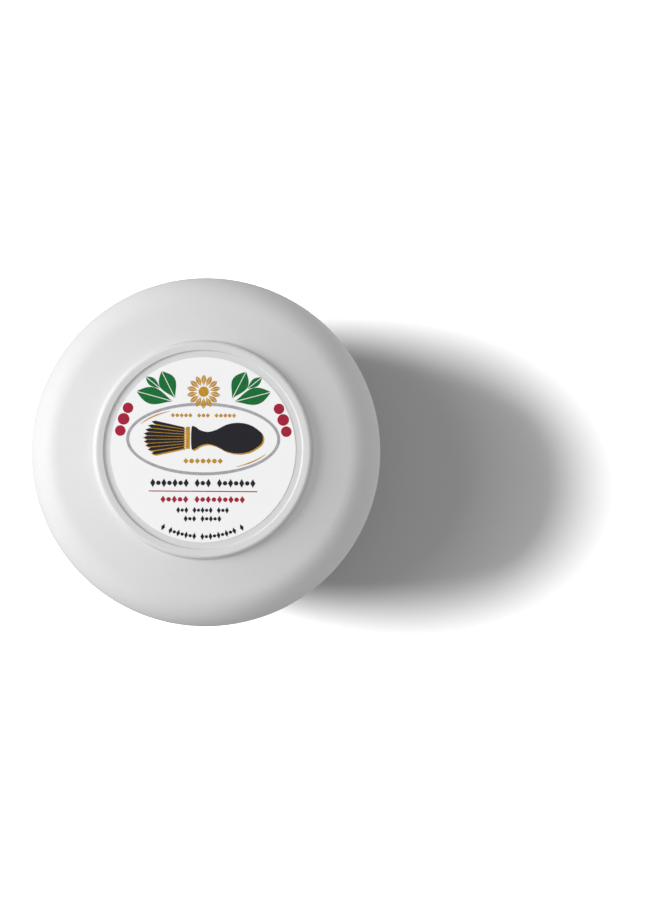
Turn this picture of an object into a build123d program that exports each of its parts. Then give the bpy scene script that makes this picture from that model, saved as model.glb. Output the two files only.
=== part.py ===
"""Shaving soap bowl: a double-walled round bowl with a cake of soap and a domed screw lid.

Units are mm. +Z is up along the bowl's axis. The origin is the centre of the foot ring, on the ground.
"""

from build123d import *
from math import asin, cos, degrees, radians, sin, sqrt, tan
import os

os.makedirs("parts", exist_ok=True)

# Overall size
BODY_RADIUS = 50.0
TOTAL_HEIGHT = 52.0
SEAM_Z = 34.0
SEAM_GAP = 0.5

# Bowl, outer wall
BOWL_TOP_RADIUS = 49.7
BOWL_CURVE_RADIUS = 36.0
BOWL_WALL = 1.8
FOOT_OUTER_RADIUS = 30.5
FOOT_INNER_RADIUS = 26.5
FOOT_DEPTH = 1.3
FOOT_EDGE = 0.6
FOOT_BLEND = 1.2
BASE_THICKNESS = 1.9
LEDGE_RADIUS = 47.0
LEDGE_DEPTH = 1.4

# Bowl, inner cup
NECK_RADIUS = 40.0
NECK_TOP_Z = 43.8
CUP_WALL = 1.6
CUP_DRAFT = 1.1
CUP_CORNER_RADIUS = 15.5
SHOULDER_THICKNESS = 1.3
SHOULDER_RADIUS = 47.8
RIM_EDGE = 0.45

# Soap
SOAP_TOP_Z = 39.3
SOAP_EDGE = 1.2
SOAP_CLEARANCE = 0.05

# Lid, outer wall
LID_WALL = 1.6
SHOULDER_CURVE_RADIUS = 10.6
DOME_SLOPE = 11.5
RING_OUTER_RADIUS = 30.45
RING_CREST_RADIUS = 29.4
RING_INNER_RADIUS = 27.9
RING_FALL = 0.1
RING_ROOT_RADIUS = 30.8
RING_HEIGHT = 1.9
RING_OUTER_EDGE = 0.9
RING_INNER_EDGE = 0.3
RING_ROOT_BLEND = 0.5
RECESS_DEPTH = 0.6
RECESS_BLEND = 0.15
LID_RIM_EDGE = 0.5
SNAP_BEAD = 0.4
SNAP_BEAD_HEIGHT = 0.45

# Lid, inner cap
CAP_BORE_RADIUS = 41.7
CAP_WALL = 1.4
CAP_PLATE = 1.3
CAP_CORNER_RADIUS = 2.4
CAP_FLANGE = 1.3
CAP_BOTTOM_Z = 35.0
CAP_FIT = 0.1

# Sealing disc
DISC_RADIUS = 41.2
DISC_THICKNESS = 1.0
DISC_GAP = 0.05

# Thread, two starts
THREAD_LEAD = 8.0
THREAD_STARTS = 2
THREAD_TURN = 200.0
THREAD_BASE = 1.9
THREAD_CREST = 0.7
THREAD_HEIGHT = 1.3
THREAD_SINK = 0.3
NECK_THREAD_Z = 36.4
NECK_THREAD_START = 20.0
CAP_THREAD_LAG = 1.45
CAP_THREAD_ADVANCE = 75.0

# Labels
LID_LABEL_RADIUS = 26.0
LID_LABEL_THICKNESS = 0.12
BASE_LABEL_RADIUS = 24.0
BASE_LABEL_THICKNESS = 0.15


def round_edges(part, radius, height):
    """Circular edges of a part that lie at one radius and one height."""
    circles = part.edges().filter_by(GeomType.CIRCLE)
    level = circles.filter_by(lambda edge: abs(edge.arc_center.Z - height) < 0.01)
    return level.filter_by(lambda edge: abs(edge.radius - radius) < 0.01)


# ---- Bowl outer shell -------------------------------------------------------
bowl_curve_x = BOWL_TOP_RADIUS - BOWL_CURVE_RADIUS
bowl_inner_curve = BOWL_CURVE_RADIUS - BOWL_WALL
foot_joint_z = SEAM_Z - sqrt(BOWL_CURVE_RADIUS**2 - (FOOT_OUTER_RADIUS - bowl_curve_x) ** 2)
floor_z = FOOT_DEPTH + BASE_THICKNESS
floor_radius = bowl_curve_x + sqrt(bowl_inner_curve**2 - (SEAM_Z - floor_z) ** 2)
land_z = SEAM_Z - sqrt(bowl_inner_curve**2 - (LEDGE_RADIUS - bowl_curve_x) ** 2)
ledge_z = SEAM_Z - LEDGE_DEPTH
rim_inner_radius = SHOULDER_RADIUS + CAP_FIT
foot_angle = degrees(asin((SEAM_Z - foot_joint_z) / BOWL_CURVE_RADIUS))
floor_angle = degrees(asin((SEAM_Z - floor_z) / bowl_inner_curve))
land_angle = degrees(asin((SEAM_Z - land_z) / bowl_inner_curve))

with BuildPart() as bowl_outer_shell:
    with BuildSketch(Plane.XZ):
        with BuildLine():
            Polyline(
                (0, FOOT_DEPTH),
                (FOOT_INNER_RADIUS, FOOT_DEPTH),
                (FOOT_INNER_RADIUS, 0),
                (FOOT_OUTER_RADIUS, 0),
                (FOOT_OUTER_RADIUS, foot_joint_z),
            )
            CenterArc((bowl_curve_x, SEAM_Z), BOWL_CURVE_RADIUS, -foot_angle, foot_angle)
            Polyline(
                (BOWL_TOP_RADIUS, SEAM_Z),
                (rim_inner_radius, SEAM_Z),
                (rim_inner_radius, ledge_z),
                (LEDGE_RADIUS, ledge_z),
                (LEDGE_RADIUS, land_z),
            )
            CenterArc((bowl_curve_x, SEAM_Z), bowl_inner_curve, -land_angle, land_angle - floor_angle)
            Polyline((floor_radius, floor_z), (0, floor_z), (0, FOOT_DEPTH))
        make_face()
    revolve(axis=Axis.Z)
    fillet(round_edges(bowl_outer_shell, BOWL_TOP_RADIUS, SEAM_Z), radius=LID_RIM_EDGE)
    fillet(round_edges(bowl_outer_shell, FOOT_OUTER_RADIUS, foot_joint_z), radius=FOOT_BLEND)
    fillet(round_edges(bowl_outer_shell, FOOT_OUTER_RADIUS, 0), radius=FOOT_EDGE)
    fillet(round_edges(bowl_outer_shell, FOOT_INNER_RADIUS, 0), radius=FOOT_EDGE)
bowl_outer_shell.part.label = "bowl_outer_shell"
export_step(bowl_outer_shell.part, "parts/bowl_outer_shell.step")

# ---- Thread ridge on the neck -----------------------------------------------
ridge_rise = THREAD_LEAD * THREAD_TURN / 360.0

with BuildPart() as neck_ridge:
    with BuildLine() as neck_helix:
        Helix(pitch=THREAD_LEAD, height=ridge_rise, radius=NECK_RADIUS)
    with BuildSketch(Plane(origin=neck_helix.line @ 0, x_dir=(1, 0, 0), z_dir=neck_helix.line % 0)):
        with BuildLine():
            Polyline(
                (-THREAD_SINK, -THREAD_BASE / 2),
                (0, -THREAD_BASE / 2),
                (THREAD_HEIGHT, -THREAD_CREST / 2),
                (THREAD_HEIGHT, THREAD_CREST / 2),
                (0, THREAD_BASE / 2),
                (-THREAD_SINK, THREAD_BASE / 2),
                close=True,
            )
        make_face()
    sweep(is_frenet=True)

# ---- Bowl inner cup ---------------------------------------------------------
cup_top_inner = NECK_RADIUS - CUP_WALL
cup_low_inner = cup_top_inner - CUP_DRAFT
cup_low_outer = cup_low_inner + CUP_WALL
corner_x = cup_low_outer - CUP_CORNER_RADIUS
corner_z = floor_z + CUP_CORNER_RADIUS
cup_floor_z = floor_z + CUP_WALL
corner_inner_radius = CUP_CORNER_RADIUS - CUP_WALL
shoulder_low_z = SEAM_Z - SHOULDER_THICKNESS
cup_slope = CUP_DRAFT / (NECK_TOP_Z - corner_z)
cup_shoulder_outer = cup_low_outer + cup_slope * (shoulder_low_z - corner_z)

with BuildPart() as bowl_inner_cup:
    with BuildSketch(Plane.XZ):
        with BuildLine():
            Polyline((0, floor_z), (corner_x, floor_z))
            CenterArc((corner_x, corner_z), CUP_CORNER_RADIUS, -90, 90)
            Polyline(
                (cup_low_outer, corner_z),
                (cup_shoulder_outer, shoulder_low_z),
                (SHOULDER_RADIUS, shoulder_low_z),
                (SHOULDER_RADIUS, SEAM_Z),
                (NECK_RADIUS, SEAM_Z),
                (NECK_RADIUS, NECK_TOP_Z),
                (cup_top_inner, NECK_TOP_Z),
                (cup_low_inner, corner_z),
            )
            CenterArc((corner_x, corner_z), corner_inner_radius, 0, -90)
            Polyline((corner_x, cup_floor_z), (0, cup_floor_z), (0, floor_z))
        make_face()
    revolve(axis=Axis.Z)
    fillet(round_edges(bowl_inner_cup, NECK_RADIUS, NECK_TOP_Z), radius=RIM_EDGE)
    fillet(round_edges(bowl_inner_cup, cup_top_inner, NECK_TOP_Z), radius=RIM_EDGE)
    fillet(round_edges(bowl_inner_cup, NECK_RADIUS, SEAM_Z), radius=RIM_EDGE)
    with Locations(Location((0, 0, NECK_THREAD_Z), (0, 0, NECK_THREAD_START))):
        with PolarLocations(0, THREAD_STARTS):
            add(neck_ridge.part)
bowl_inner_cup.part.label = "bowl_inner_cup"
export_step(bowl_inner_cup.part, "parts/bowl_inner_cup.step")

# ---- Soap -------------------------------------------------------------------
soap_top_radius = cup_low_inner + cup_slope * (SOAP_TOP_Z - corner_z) - SOAP_CLEARANCE
soap_low_radius = cup_low_inner - SOAP_CLEARANCE
soap_corner = soap_low_radius - corner_x

with BuildPart() as soap_puck:
    with BuildSketch(Plane.XZ):
        with BuildLine():
            Polyline((0, corner_z - soap_corner), (corner_x, corner_z - soap_corner))
            CenterArc((corner_x, corner_z), soap_corner, -90, 90)
            Polyline(
                (soap_low_radius, corner_z),
                (soap_top_radius, SOAP_TOP_Z),
                (0, SOAP_TOP_Z),
                (0, corner_z - soap_corner),
            )
        make_face()
    revolve(axis=Axis.Z)
    fillet(round_edges(soap_puck, soap_top_radius, SOAP_TOP_Z), radius=SOAP_EDGE)
soap_puck.part.label = "soap_puck"
export_step(soap_puck.part, "parts/soap_puck.step")

# ---- Label under the base ---------------------------------------------------
with BuildPart() as base_label:
    with BuildSketch(Plane.XY.offset(FOOT_DEPTH - BASE_LABEL_THICKNESS)):
        Circle(BASE_LABEL_RADIUS)
    extrude(amount=BASE_LABEL_THICKNESS)
base_label.part.label = "base_label"
export_step(base_label.part, "parts/base_label.step")

# ---- Lid outer shell --------------------------------------------------------
slope = tan(radians(DOME_SLOPE))
recess_z = TOTAL_HEIGHT - RECESS_DEPTH
recess_under_z = recess_z - LID_WALL
shell_curve_x = BODY_RADIUS - SHOULDER_CURVE_RADIUS
shell_inner_curve = SHOULDER_CURVE_RADIUS - LID_WALL
dome_out_radius = shell_curve_x + SHOULDER_CURVE_RADIUS * sin(radians(DOME_SLOPE))
ring_lip_z = TOTAL_HEIGHT - RING_FALL
ring_root_z = TOTAL_HEIGHT - RING_HEIGHT
dome_out_z = ring_root_z - (dome_out_radius - RING_ROOT_RADIUS) * slope
shell_curve_z = dome_out_z - SHOULDER_CURVE_RADIUS * cos(radians(DOME_SLOPE))
under_out_radius = shell_curve_x + shell_inner_curve * sin(radians(DOME_SLOPE))
under_out_z = shell_curve_z + shell_inner_curve * cos(radians(DOME_SLOPE))
under_in_radius = under_out_radius - (recess_under_z - under_out_z) / slope
lid_bottom_z = SEAM_Z + SEAM_GAP
skirt_radius = BODY_RADIUS - LID_WALL
cap_top_z = NECK_TOP_Z + DISC_GAP * 2 + DISC_THICKNESS + CAP_PLATE

with BuildPart() as lid_outer_shell:
    with BuildSketch(Plane.XZ):
        with BuildLine():
            Polyline(
                (0, recess_z),
                (RING_INNER_RADIUS, recess_z),
                (RING_INNER_RADIUS, ring_lip_z),
                (RING_CREST_RADIUS, TOTAL_HEIGHT),
                (RING_OUTER_RADIUS, TOTAL_HEIGHT),
                (RING_ROOT_RADIUS, ring_root_z),
                (dome_out_radius, dome_out_z),
            )
            CenterArc(
                (shell_curve_x, shell_curve_z),
                SHOULDER_CURVE_RADIUS,
                90 - DOME_SLOPE,
                DOME_SLOPE - 90,
            )
            Polyline(
                (BODY_RADIUS, shell_curve_z),
                (BODY_RADIUS, lid_bottom_z),
                (skirt_radius, lid_bottom_z),
                (skirt_radius - SNAP_BEAD, lid_bottom_z + SNAP_BEAD_HEIGHT / 2),
                (skirt_radius, lid_bottom_z + SNAP_BEAD_HEIGHT),
                (skirt_radius, shell_curve_z),
            )
            CenterArc((shell_curve_x, shell_curve_z), shell_inner_curve, 0, 90 - DOME_SLOPE)
            Polyline(
                (under_out_radius, under_out_z),
                (under_in_radius, recess_under_z),
                (0, recess_under_z),
                (0, recess_z),
            )
        make_face()
    revolve(axis=Axis.Z)
    fillet(round_edges(lid_outer_shell, RING_ROOT_RADIUS, ring_root_z), radius=RING_ROOT_BLEND)
    fillet(round_edges(lid_outer_shell, RING_OUTER_RADIUS, TOTAL_HEIGHT), radius=RING_OUTER_EDGE)
    fillet(round_edges(lid_outer_shell, RING_INNER_RADIUS, ring_lip_z), radius=RING_INNER_EDGE)
    fillet(round_edges(lid_outer_shell, RING_INNER_RADIUS, recess_z), radius=RECESS_BLEND)
    fillet(round_edges(lid_outer_shell, BODY_RADIUS, lid_bottom_z), radius=LID_RIM_EDGE)
lid_outer_shell.part.label = "lid_outer_shell"
export_step(lid_outer_shell.part, "parts/lid_outer_shell.step")

# ---- Thread ridge inside the cap --------------------------------------------
with BuildPart() as cap_ridge:
    with BuildLine() as cap_helix:
        Helix(pitch=THREAD_LEAD, height=ridge_rise, radius=CAP_BORE_RADIUS)
    with BuildSketch(Plane(origin=cap_helix.line @ 0, x_dir=(1, 0, 0), z_dir=cap_helix.line % 0)):
        with BuildLine():
            Polyline(
                (THREAD_SINK, -THREAD_BASE / 2),
                (0, -THREAD_BASE / 2),
                (-THREAD_HEIGHT, -THREAD_CREST / 2),
                (-THREAD_HEIGHT, THREAD_CREST / 2),
                (0, THREAD_BASE / 2),
                (THREAD_SINK, THREAD_BASE / 2),
                close=True,
            )
        make_face()
    sweep(is_frenet=True)

# ---- Lid inner cap ----------------------------------------------------------
cap_outer_radius = CAP_BORE_RADIUS + CAP_WALL
cap_plate_z = cap_top_z - CAP_PLATE
flange_radius = skirt_radius - CAP_FIT
cap_thread_z = NECK_THREAD_Z - CAP_THREAD_LAG + THREAD_LEAD * CAP_THREAD_ADVANCE / 360.0
cap_thread_start = NECK_THREAD_START + CAP_THREAD_ADVANCE

with BuildPart() as lid_inner_cap:
    with BuildSketch(Plane.XZ):
        with BuildLine():
            Polyline(
                (0, cap_plate_z),
                (CAP_BORE_RADIUS, cap_plate_z),
                (CAP_BORE_RADIUS, CAP_BOTTOM_Z),
                (flange_radius, CAP_BOTTOM_Z),
                (flange_radius, CAP_BOTTOM_Z + CAP_FLANGE),
                (cap_outer_radius, CAP_BOTTOM_Z + CAP_FLANGE),
                (cap_outer_radius, cap_top_z),
                (0, cap_top_z),
                close=True,
            )
        make_face()
    revolve(axis=Axis.Z)
    fillet(round_edges(lid_inner_cap, cap_outer_radius, cap_top_z), radius=CAP_CORNER_RADIUS)
    fillet(round_edges(lid_inner_cap, CAP_BORE_RADIUS, CAP_BOTTOM_Z), radius=RIM_EDGE)
    with Locations(Location((0, 0, cap_thread_z), (0, 0, cap_thread_start))):
        with PolarLocations(0, THREAD_STARTS):
            add(cap_ridge.part)
lid_inner_cap.part.label = "lid_inner_cap"
export_step(lid_inner_cap.part, "parts/lid_inner_cap.step")

# ---- Sealing disc -----------------------------------------------------------
with BuildPart() as lid_sealing_disc:
    with BuildSketch(Plane.XY.offset(NECK_TOP_Z + DISC_GAP)):
        Circle(DISC_RADIUS)
    extrude(amount=DISC_THICKNESS)
lid_sealing_disc.part.label = "lid_sealing_disc"
export_step(lid_sealing_disc.part, "parts/lid_sealing_disc.step")

# ---- Label in the lid's recess ----------------------------------------------
with BuildPart() as lid_label:
    with BuildSketch(Plane.XY.offset(recess_z)):
        Circle(LID_LABEL_RADIUS)
    extrude(amount=LID_LABEL_THICKNESS)
lid_label.part.label = "lid_label"
export_step(lid_label.part, "parts/lid_label.step")
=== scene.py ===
from math import cos, pi, radians, sin

import bmesh
import bpy
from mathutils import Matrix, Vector


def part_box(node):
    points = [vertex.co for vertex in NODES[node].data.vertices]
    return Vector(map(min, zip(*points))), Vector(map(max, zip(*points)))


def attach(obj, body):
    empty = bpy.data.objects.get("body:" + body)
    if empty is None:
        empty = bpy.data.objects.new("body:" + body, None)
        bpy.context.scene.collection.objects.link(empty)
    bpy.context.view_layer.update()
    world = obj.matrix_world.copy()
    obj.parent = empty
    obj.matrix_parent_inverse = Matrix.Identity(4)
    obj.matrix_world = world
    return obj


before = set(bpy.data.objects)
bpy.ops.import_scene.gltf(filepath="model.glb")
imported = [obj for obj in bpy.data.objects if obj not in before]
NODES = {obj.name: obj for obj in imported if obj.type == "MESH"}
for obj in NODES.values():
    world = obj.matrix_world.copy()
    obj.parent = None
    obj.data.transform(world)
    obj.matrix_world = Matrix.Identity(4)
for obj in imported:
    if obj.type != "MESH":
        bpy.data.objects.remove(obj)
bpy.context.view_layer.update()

MM = 0.001

# Camera and light, measured from the bowl's axis
CAMERA_OFFSET = Vector((35.8, -27.65)) * MM
CAMERA_HEIGHT = 650 * MM
AIM_POINT = Vector((35.6, 0.75, 37.7)) * MM
CAMERA_LENS = 90.78
KEY_AZIMUTH = radians(173)
KEY_ELEVATION = radians(28.5)
KEY_DISTANCE = 2.5
KEY_SIZE = (1.8, 1.2)
KEY_POWER = 63.0
FLOOR_KEY_AZIMUTH = radians(174.3)
FLOOR_KEY_ELEVATION = radians(27.5)
FLOOR_KEY_SIZE = (1.55, 1.2)
FLOOR_KEY_POWER = 525.0
GLOW_ELEVATION = radians(43)
GLOW_SIZE = (1.6, 1.6)
GLOW_POWER = 45.0
TOP_HEIGHT = 2.0
TOP_SIZE = 2.0
TOP_POWER = 11.0
FILL_STRENGTH = 0.3
BOUNCE_STRENGTH = 0.63
BOUNCE_LEAN = (0.17, 0.1, 0)
HORIZON_BLEND = 0.15
FLOOR_SIZE = 3.0
FLOOR_GREYS = (0.413, 0.418)
FLOOR_GRAIN = 60
FLOOR_ROUGHNESS = 0.9

# Print on the labels, in mm. Ink layers stand INK_STEP apart, and reach INK_SINK into the film
INK_SINK = 0.005
INK_STEP = 0.012
OVAL_RADII = (21.2, 9.8)
OVAL_CENTRE = (0, 3.0)
OVAL_WIDTH = 0.85
FRILL_RADII = (19.9, 8.8)
FRILL_WIDTH = 0.4
BRUSH_AXIS = 3.3
GOLD_SHIFT = (0.36, -0.36)
FLOWER_CENTRE = (0, 16.3)
SPRIG_FOOT = (-7.4, 13.2)
LOWER_ARC = 24.4
BASE_BORDER = 22.2
BASE_ROW_WIDTHS = (18, 26, 31, 34, 36, 36, 34, 31, 26, 18)
BASE_ROW_PITCH = 2.9
BASE_MARK_HEIGHT = 1.2

# Colours
WHITE = (0.68, 0.68, 0.68)
INK_GREEN = (0.004, 0.155, 0.032)
INK_RED = (0.38, 0.012, 0.04)
INK_GOLD = (0.52, 0.27, 0.02)
INK_BLACK = (0.012, 0.012, 0.018)
INK_GREY = (0.38, 0.38, 0.41)
INK_DARK = (0.09, 0.09, 0.1)


# ---- Materials --------------------------------------------------------------

class Finish:
    """A material whose colour, roughness and relief come from noise in the object's own frame."""

    def __init__(self, name):
        self.material = bpy.data.materials.new(name)
        self.material.use_nodes = True
        self.tree = self.material.node_tree
        self.shader = self.tree.nodes["Principled BSDF"]
        self.place = self.tree.nodes.new("ShaderNodeTexCoord").outputs["Object"]
        self.relief = None

    def set(self, **sockets):
        """Sets the shader's own sockets, such as Coat_Weight=0.2."""
        for name, value in sockets.items():
            self.shader.inputs[name.replace("_", " ")].default_value = value
        return self

    def noise(self, size, detail=2.0, distortion=0.0):
        """Soft noise whose features are about size mm wide."""
        node = self.tree.nodes.new("ShaderNodeTexNoise")
        node.inputs["Scale"].default_value = 1 / (size * MM)
        node.inputs["Detail"].default_value = detail
        node.inputs["Distortion"].default_value = distortion
        self.tree.links.new(self.place, node.inputs["Vector"])
        return node.outputs["Fac"]

    def cells(self, size):
        """Distance to the nearest of many points about size mm apart."""
        node = self.tree.nodes.new("ShaderNodeTexVoronoi")
        node.inputs["Scale"].default_value = 1 / (size * MM)
        self.tree.links.new(self.place, node.inputs["Vector"])
        return node.outputs["Distance"]

    def spread(self, factor, low, high, start=0.3, end=0.7):
        """Maps a factor from start..end to low..high."""
        node = self.tree.nodes.new("ShaderNodeMapRange")
        for name, value in (("From Min", start), ("From Max", end), ("To Min", low), ("To Max", high)):
            node.inputs[name].default_value = value
        self.tree.links.new(factor, node.inputs["Value"])
        return node.outputs["Result"]

    def colour(self, factor, low, high):
        """The base colour runs from low to high with the factor."""
        node = self.tree.nodes.new("ShaderNodeMix")
        node.data_type = "RGBA"
        self.tree.links.new(self.spread(factor, 0, 1), node.inputs["Factor"])
        node.inputs["A"].default_value = (*low, 1)
        node.inputs["B"].default_value = (*high, 1)
        self.tree.links.new(node.outputs["Result"], self.shader.inputs["Base Color"])
        return self

    def roughness(self, factor, low, high):
        """The roughness runs from low to high with the factor."""
        self.tree.links.new(self.spread(factor, low, high), self.shader.inputs["Roughness"])
        return self

    def bump(self, height, depth, strength=1.0):
        """Adds relief about depth mm deep to what is there already."""
        node = self.tree.nodes.new("ShaderNodeBump")
        node.inputs["Distance"].default_value = depth * MM
        node.inputs["Strength"].default_value = strength
        self.tree.links.new(height, node.inputs["Height"])
        if self.relief:
            self.tree.links.new(self.relief, node.inputs["Normal"])
        self.relief = node.outputs["Normal"]
        self.tree.links.new(self.relief, self.shader.inputs["Normal"])
        return self


def shade(colour, factor):
    """The colour, lighter or darker by a factor."""
    return tuple(channel * factor for channel in colour)


def moulded_plastic(name, colour, gloss, grain):
    """Satin white polypropylene: a spark-eroded grain over a faint flow of the melt."""
    finish = Finish(name)
    finish.colour(finish.noise(18, distortion=0.6), shade(colour, 0.985), colour)
    finish.roughness(finish.noise(7, detail=3), gloss - 0.03, gloss + 0.04)
    finish.bump(finish.noise(9), 0.02, 0.5)
    finish.bump(finish.noise(grain, detail=3), 0.012, 0.6)
    finish.set(IOR=1.49, Specular_IOR_Level=0.35, Subsurface_Weight=0.12, Subsurface_Scale=0.0015)
    return finish.material


def label_film(name, colour, gloss):
    """White printed film with a faint fibre and a thin varnish."""
    finish = Finish(name)
    finish.colour(finish.noise(5, detail=4), shade(colour, 0.988), colour)
    finish.roughness(finish.noise(2.5, detail=3), gloss - 0.03, gloss + 0.05)
    finish.bump(finish.noise(0.35, detail=3), 0.004, 0.5)
    finish.set(IOR=1.45, Coat_Weight=0.15, Coat_Roughness=0.3)
    return finish.material


def ink(name, colour):
    """Printed ink: slightly uneven in density, and matt, so that its colour stays deep."""
    finish = Finish(name)
    finish.colour(finish.noise(0.8, detail=4), shade(colour, 0.85), shade(colour, 1.12))
    finish.roughness(finish.noise(1.6, detail=3), 0.34, 0.46)
    finish.bump(finish.noise(0.3, detail=2), 0.003, 0.5)
    finish.set(IOR=1.45, Specular_IOR_Level=0.15)
    return finish.material


def hard_soap():
    """Off-white poured soap with a faint swirl, fine pits and a waxy skin."""
    finish = Finish("soap_cream")
    finish.colour(finish.noise(14, detail=4, distortion=2.2), (0.78, 0.74, 0.65), (0.86, 0.84, 0.78))
    finish.roughness(finish.noise(6, detail=4), 0.42, 0.6)
    finish.bump(finish.noise(11, detail=2, distortion=1.4), 0.5, 0.5)
    finish.bump(finish.cells(0.9), 0.05, 0.35)
    finish.set(IOR=1.46, Subsurface_Weight=0.25, Subsurface_Scale=0.003)
    return finish.material


def seal_foam():
    """Closed-cell foam under a smooth film that the cells show through."""
    finish = Finish("seal_foam")
    finish.colour(finish.cells(0.7), (0.74, 0.74, 0.73), (0.82, 0.82, 0.81))
    finish.roughness(finish.noise(3, detail=3), 0.45, 0.6)
    finish.bump(finish.cells(0.7), 0.05, 0.5)
    finish.set(IOR=1.45)
    return finish.material


def give(node, material):
    """Paints a CAD node with one material."""
    mesh = NODES[node].data
    mesh.materials.clear()
    mesh.materials.append(material)


def paint_nodes():
    """Gives every CAD node its finish."""
    give("lid_outer_shell", moulded_plastic("lid_shell_plastic", WHITE, 0.56, 0.45))
    give("bowl_outer_shell", moulded_plastic("bowl_shell_plastic", WHITE, 0.56, 0.45))
    give("bowl_inner_cup", moulded_plastic("cup_plastic", shade(WHITE, 0.97), 0.34, 0.7))
    give("lid_inner_cap", moulded_plastic("cap_plastic", shade(WHITE, 0.97), 0.34, 0.7))
    give("lid_label", label_film("lid_label_film", (0.90, 0.90, 0.905), 0.38))
    give("base_label", label_film("base_label_paper", (0.84, 0.84, 0.83), 0.6))
    give("soap_puck", hard_soap())
    give("lid_sealing_disc", seal_foam())


# ---- Outlines, in mm --------------------------------------------------------

def smooth_outline(corners, steps=6):
    """A closed curve through the corners."""
    outline = []
    count = len(corners)
    for i in range(count):
        before, start, end, after = (Vector(corners[(i + k) % count]) for k in (-1, 0, 1, 2))
        for step in range(steps):
            t = step / steps
            curve = 2 * start + (end - before) * t
            curve += (2 * before - 5 * start + 4 * end - after) * t**2
            curve += (3 * start - before - 3 * end + after) * t**3
            outline.append(curve / 2)
    return outline


def turned(points, angle, to=(0, 0)):
    """The points turned about the origin, then moved."""
    c, s = cos(angle), sin(angle)
    return [Vector((c * x - s * y + to[0], s * x + c * y + to[1])) for x, y in points]


def mirrored(outlines):
    """The same outlines on the other side of the label's upright axis."""
    return [[Vector((-x, y)) for x, y in reversed(outline)] for outline in outlines]


def circle(centre, radius, steps=24):
    """A round outline."""
    cx, cy = centre
    turns = [2 * pi * k / steps for k in range(steps)]
    return [Vector((cx + radius * cos(a), cy + radius * sin(a))) for a in turns]


def leaf(base, angle, length, width, rib=0.2, steps=12):
    """Two halves of a pointed leaf, with its rib left bare between them."""
    half = [(0, rib / 2)]
    for k in range(1, steps):
        t = k / steps
        half.append((t * length, rib / 2 + width / 2 * sin(pi * t**1.25)))
    half.append((length, rib / 2))
    other = [(x, -y) for x, y in reversed(half)]
    return [turned(half, angle, base), turned(other, angle, base)]


def petals(centre, count, inner, outer, width):
    """A ring of pointed petals."""
    made = []
    for k in range(count):
        angle = 2 * pi * k / count + pi / 2
        root = (centre[0] + inner * cos(angle), centre[1] + inner * sin(angle))
        made += leaf(root, angle, outer - inner, width, rib=0.1, steps=8)
    return made


def on_ellipse(radii, centre, angle, outward=0.0):
    """A point on an ellipse whose radii are larger by outward."""
    x = centre[0] + (radii[0] + outward) * cos(angle)
    y = centre[1] + (radii[1] + outward) * sin(angle)
    return Vector((x, y))


def arc_band(radii, centre, start, end, width, steps=28):
    """A band along part of an ellipse, tapering to its ends."""
    outer, inner = [], []
    for k in range(steps + 1):
        t = k / steps
        angle = radians(start + (end - start) * t)
        half = width / 2 * (0.25 + 0.75 * sin(pi * t))
        outer.append(on_ellipse(radii, centre, angle, half))
        inner.append(on_ellipse(radii, centre, angle, -half))
    return outer + inner[::-1]


def straight(y):
    """Puts a row's marks on a level line."""
    return lambda u, v: Vector((u, y + v))


def bowed(radius):
    """Puts a row's marks on an arc along the label's lower edge, upright to it."""
    return lambda u, v: Vector(((radius - v) * sin(u / radius), -(radius - v) * cos(u / radius)))


def mark_row(place, width, height, groups):
    """A row of lozenges and dots in groups, as an ornament where a label has small print."""
    slots = sum(groups) + len(groups) - 1
    pitch = width / slots
    made = []
    slot = 0
    for group in groups:
        for k in range(group):
            u = (slot + 0.5) * pitch - width / 2
            if k % 2:
                shape = circle((0, 0), min(pitch, height) * 0.41, 12)
            else:
                shape = [(-pitch * 0.47, 0), (0, -height / 2), (pitch * 0.47, 0), (0, height / 2)]
            made.append([place(u + x, y) for x, y in shape])
            slot += 1
        slot += 1
    return made


# ---- Print on the labels ----------------------------------------------------

def prisms(outlines, low, high):
    """A mesh of upright prisms, one for each outline. Outlines in mm, heights in metres."""
    mesh = bmesh.new()
    for outline in outlines:
        floor = [mesh.verts.new((x * MM, y * MM, low)) for x, y in outline]
        roof = [mesh.verts.new((x * MM, y * MM, high)) for x, y in outline]
        mesh.faces.new(floor[::-1])
        mesh.faces.new(roof)
        for k in range(len(outline)):
            after = (k + 1) % len(outline)
            mesh.faces.new((floor[k], floor[after], roof[after], roof[k]))
    bmesh.ops.recalc_face_normals(mesh, faces=mesh.faces)
    return mesh


def ring(mesh, radii, width, centre, low, high, steps=96):
    """Adds a closed band along an ellipse, sizes in mm."""
    loops = []
    for half, height in ((width / 2, low), (width / 2, high), (-width / 2, high), (-width / 2, low)):
        loop = []
        for k in range(steps):
            point = on_ellipse(radii, centre, 2 * pi * k / steps, half) * MM
            loop.append(mesh.verts.new((*point, height)))
        loops.append(loop)
    for near, far in zip(loops, loops[1:] + loops[:1]):
        for k in range(steps):
            after = (k + 1) % steps
            mesh.faces.new((near[k], near[after], far[after], far[k]))


def printed(name, mesh, material, body):
    """Finishes one ink layer as a piece that rides on a body."""
    bmesh.ops.recalc_face_normals(mesh, faces=mesh.faces)
    data = bpy.data.meshes.new(name)
    mesh.to_mesh(data)
    mesh.free()
    data.materials.append(material)
    piece = bpy.data.objects.new(name, data)
    bpy.context.collection.objects.link(piece)
    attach(piece, body)
    return piece


def brush_handle(axis):
    """A turned handle lying level, with its neck to the left."""
    top = [
        (-3.3, 2.8), (-2.3, 3.1), (-0.9, 2.2), (1.2, 1.7), (3.6, 2.3), (6.4, 3.7), (9.4, 4.3),
        (12.6, 3.9), (15.2, 2.5), (16.6, 1.0),
    ]
    under = [(x, -y) for x, y in reversed(top)]
    return smooth_outline([(x, axis + y) for x, y in top + under])


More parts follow.
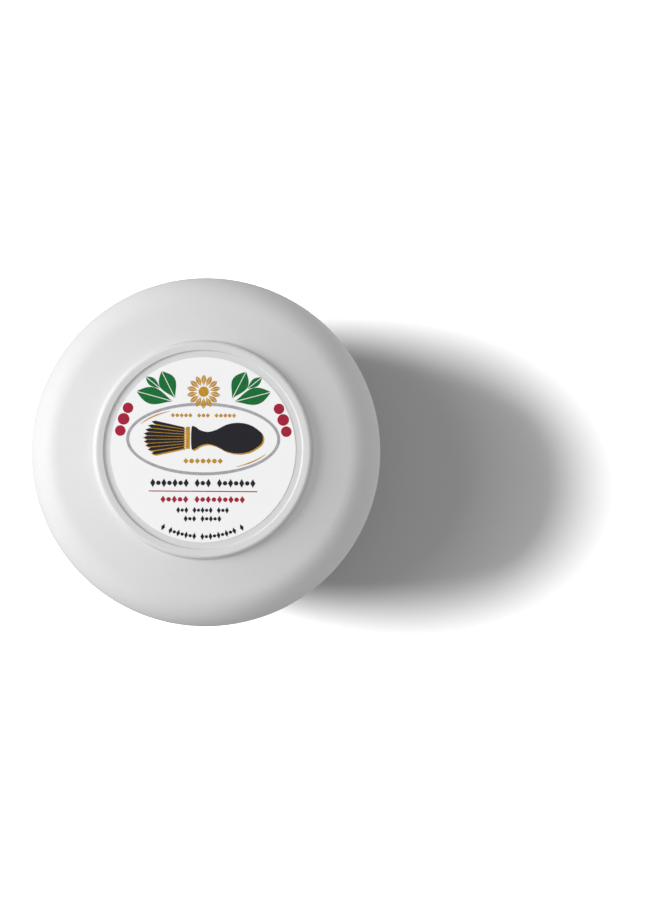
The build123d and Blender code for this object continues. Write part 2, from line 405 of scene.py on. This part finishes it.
def bristles(axis, count=9):
    """A fan of tufts to the left of the handle, with thin gaps between them."""
    made = []
    for k in range(count):
        v = 2 * k / (count - 1) - 1
        root = Vector((-5.35, axis + 2.7 * v))
        tip = Vector((-16.9 + 2.3 * v * v, axis + 4.5 * v))
        along = (tip - root).normalized()
        side = Vector((-along.y, along.x))
        shoulder = tip - along * 1.1
        thin, wide = side * 0.26, side * 0.47
        made.append([root - thin, root + thin, shoulder + wide, tip, shoulder - wide])
    return made


def brush_collar(axis, half=3.1):
    """The upright band between the tufts and the handle."""
    left, right = -4.85, -3.75
    return [(left, axis - half), (right, axis - half), (right, axis + half), (left, axis + half)]


def tea_sprig(foot):
    """Two leaves with a bud between them, leaning out to the left."""
    parts = []
    for lean, start, length, width in ((117, 1.4, 8.4, 4.6), (141, 6.2, 5.2, 2.1), (165, 1.4, 10.4, 4.6)):
        angle = radians(lean)
        base = (foot[0] + start * cos(angle), foot[1] + start * sin(angle))
        parts += leaf(base, angle, length, width)
    return parts


def shaving_brush(axis):
    """A shaving brush lying level, without its collar."""
    return [brush_handle(axis)] + bristles(axis)


def print_lid_label():
    """A tea and shaving brush ornament on the lid's label, one piece for each ink."""
    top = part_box("lid_label")[1].z
    low = top - INK_SINK * MM

    def level(layer):
        return top + INK_STEP * MM * layer

    sprig = tea_sprig(SPRIG_FOOT)
    berries = [circle((-21.2, 11.6), 1.5), circle((-22.4, 8.5), 1.65), circle((-23.3, 5.2), 1.5)]
    red = berries + mirrored(berries)
    red.append([(-15.1, -11.55), (-15.1, -11.85), (15.3, -11.85), (15.3, -11.55)])
    red += mark_row(straight(-14.0), 23.8, 2.1, (5, 9))

    gold = petals(FLOWER_CENTRE, 14, 1.7, 4.8, 1.28) + [circle(FLOWER_CENTRE, 1.45)]
    gold += [turned(outline, 0, GOLD_SHIFT) for outline in shaving_brush(BRUSH_AXIS)]
    gold.append(brush_collar(BRUSH_AXIS))
    gold += mark_row(straight(9.6), 18.4, 1.3, (5, 3, 5))
    gold += mark_row(straight(-3.2), 11.2, 1.6, (7,))
    gold.append(arc_band(FRILL_RADII, OVAL_CENTRE, 118, 152, FRILL_WIDTH))
    gold.append(arc_band(FRILL_RADII, OVAL_CENTRE, 298, 332, FRILL_WIDTH))

    black = shaving_brush(BRUSH_AXIS)
    black += mark_row(straight(-9.4), 29.6, 2.4, (7, 3, 7))
    black += mark_row(straight(-17.0), 14.8, 1.8, (3, 5, 3))
    black += mark_row(straight(-19.4), 10.6, 1.8, (3, 5))
    black += mark_row(bowed(LOWER_ARC), 24.0, 2.0, (1, 7, 9, 1))

    grey_ring = bmesh.new()
    ring(grey_ring, OVAL_RADII, OVAL_WIDTH, OVAL_CENTRE, low, level(1))

    layers = (
        ("lid_print_grey", grey_ring, INK_GREY),
        ("lid_print_green", prisms(sprig + mirrored(sprig), low, level(1)), INK_GREEN),
        ("lid_print_red", prisms(red, low, level(1)), INK_RED),
        ("lid_print_gold", prisms(gold, low, level(2)), INK_GOLD),
        ("lid_print_black", prisms(black, low, level(3)), INK_BLACK),
    )
    for name, mesh, colour in layers:
        printed(name, mesh, ink(name + "_ink", colour), "lid")


def print_base_label():
    """Rows of small marks and a thin border on the label under the base."""
    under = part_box("base_label")[0].z
    low = under - INK_STEP * MM
    high = under + INK_SINK * MM
    rows = []
    for k, width in enumerate(BASE_ROW_WIDTHS):
        y = (len(BASE_ROW_WIDTHS) / 2 - 0.5 - k) * BASE_ROW_PITCH
        groups = (7, 5, 9, 7) if k % 2 else (5, 9, 5, 9)
        rows += mark_row(straight(y), width, BASE_MARK_HEIGHT, groups)
    print_mesh = prisms(rows, low, high)
    ring(print_mesh, (BASE_BORDER, BASE_BORDER), FRILL_WIDTH, (0, 0), low, high)
    printed("base_print", print_mesh, ink("base_print_ink", INK_DARK), "bowl")


# ---- Stage, light and camera ------------------------------------------------

def pale_floor():
    """A plain pale floor. It sends no light back to the bowl: the surround's lower half does."""
    mesh = bpy.data.meshes.new("floor")
    half = FLOOR_SIZE / 2
    corners = [(-half, -half, 0), (half, -half, 0), (half, half, 0), (-half, half, 0)]
    mesh.from_pydata(corners, [], [(0, 1, 2, 3)])
    floor = bpy.data.objects.new("floor", mesh)
    bpy.context.collection.objects.link(floor)
    finish = Finish("floor_paper")
    darker, paler = ((grey, grey, grey) for grey in FLOOR_GREYS)
    finish.colour(finish.noise(FLOOR_GRAIN), darker, paler)
    finish.set(Roughness=FLOOR_ROUGHNESS)
    mesh.materials.append(finish.material)
    floor.visible_diffuse = False
    floor.visible_glossy = False
    floor.visible_shadow = False
    return floor


def soft_light(name, place, size, power):
    """An oval softbox that faces the origin."""
    lamp = bpy.data.lights.new(name, "AREA")
    lamp.shape = "ELLIPSE"
    lamp.size, lamp.size_y = size
    lamp.energy = power
    softbox = bpy.data.objects.new(name, lamp)
    softbox.location = place
    softbox.rotation_euler = place.to_track_quat("Z", "Y").to_euler()
    bpy.context.collection.objects.link(softbox)
    return softbox


def on_dome(azimuth, elevation, distance):
    """A place seen from the origin in the given direction."""
    level = distance * cos(elevation)
    return Vector((level * cos(azimuth), level * sin(azimuth), distance * sin(elevation)))


def light_bowl(floor):
    """A low key on the left and a softbox overhead, with two lamps for the floor alone."""
    soft_light("key", on_dome(KEY_AZIMUTH, KEY_ELEVATION, KEY_DISTANCE), KEY_SIZE, KEY_POWER)
    soft_light("top", Vector((0, 0, TOP_HEIGHT)), (TOP_SIZE, TOP_SIZE), TOP_POWER)
    low = on_dome(FLOOR_KEY_AZIMUTH, FLOOR_KEY_ELEVATION, KEY_DISTANCE)
    high = on_dome(FLOOR_KEY_AZIMUTH, GLOW_ELEVATION, KEY_DISTANCE)
    light_only(soft_light("floor_key", low, FLOOR_KEY_SIZE, FLOOR_KEY_POWER), floor)
    light_only(soft_light("floor_glow", high, GLOW_SIZE, GLOW_POWER), floor)


def light_only(lamp, lit):
    """The lamp lights one object and nothing else, though everything still shades it."""
    receivers = bpy.data.collections.new(lamp.name + "_receivers")
    receivers.objects.link(lit)
    lamp.light_linking.receiver_collection = receivers


def fill_light():
    """A white surround: dim above, and brighter below in place of the floor's own bounce."""
    world = bpy.data.worlds.new("surround")
    world.use_nodes = True
    tree = world.node_tree
    toward = tree.nodes.new("ShaderNodeTexCoord").outputs["Generated"]
    lean = tree.nodes.new("ShaderNodeVectorMath")
    lean.operation = "DOT_PRODUCT"
    lean.inputs[1].default_value = BOUNCE_LEAN
    tree.links.new(toward, lean.inputs[0])
    bounce = tree.nodes.new("ShaderNodeMath")
    bounce.inputs[1].default_value = BOUNCE_STRENGTH
    tree.links.new(lean.outputs["Value"], bounce.inputs[0])
    parts = tree.nodes.new("ShaderNodeSeparateXYZ")
    tree.links.new(toward, parts.inputs["Vector"])
    blend = tree.nodes.new("ShaderNodeMapRange")
    blend.inputs["From Min"].default_value = -HORIZON_BLEND
    blend.inputs["From Max"].default_value = HORIZON_BLEND
    tree.links.new(bounce.outputs["Value"], blend.inputs["To Min"])
    blend.inputs["To Max"].default_value = FILL_STRENGTH
    tree.links.new(parts.outputs["Z"], blend.inputs["Value"])
    background = tree.nodes["Background"]
    background.inputs["Color"].default_value = (1, 1, 1, 1)
    tree.links.new(blend.outputs["Result"], background.inputs["Strength"])
    bpy.context.scene.world = world


def overhead_camera():
    """Looks almost straight down, from a little below the label's upright."""
    camera = bpy.data.objects.new("camera", bpy.data.cameras.new("camera"))
    camera.data.lens = CAMERA_LENS
    camera.data.sensor_width = 36
    camera.data.clip_start = 0.01
    camera.location = (*CAMERA_OFFSET, AIM_POINT.z + CAMERA_HEIGHT)
    camera.rotation_euler = (camera.location - AIM_POINT).to_track_quat("Z", "Y").to_euler()
    bpy.context.collection.objects.link(camera)
    bpy.context.scene.camera = camera
    bpy.context.scene.view_settings.view_transform = "Standard"


paint_nodes()
print_lid_label()
print_base_label()
light_bowl(pale_floor())
fill_light()
overhead_camera()
